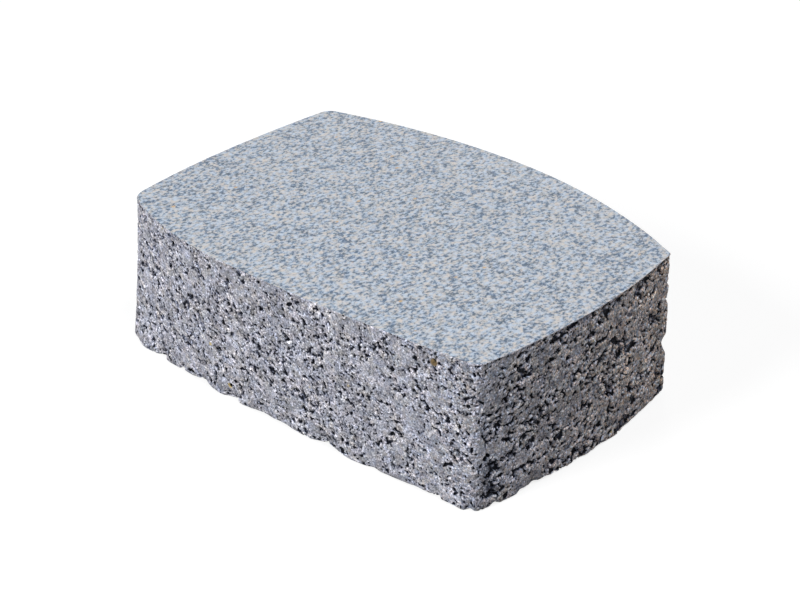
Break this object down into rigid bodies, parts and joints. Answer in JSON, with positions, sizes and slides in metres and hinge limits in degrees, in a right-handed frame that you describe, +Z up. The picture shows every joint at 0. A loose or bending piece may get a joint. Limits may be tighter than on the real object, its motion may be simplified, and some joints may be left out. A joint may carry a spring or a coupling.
{
  "type": "concrete paver",
  "caption": "Barrel-shaped concrete paving block with four bowed sides, eased corners, a flat wearing face and a flat bed face.",
  "frame": {"origin": "middle of the bed face, which is the centre of the bottom of the bounding box", "axes": "+Z up from the bed face to the wearing face, +X along the length, +Y from the less bowed long side to the more bowed one"},
  "size_m": [0.194, 0.134, 0.06],
  "materials": {
    "concrete": "speckled blue-grey face mix on the wearing face, coarse open-textured grey concrete on the sides and bed"
  },
  "bodies": {
    "root": {"paver": "concrete"}
  },
  "joints": []
}
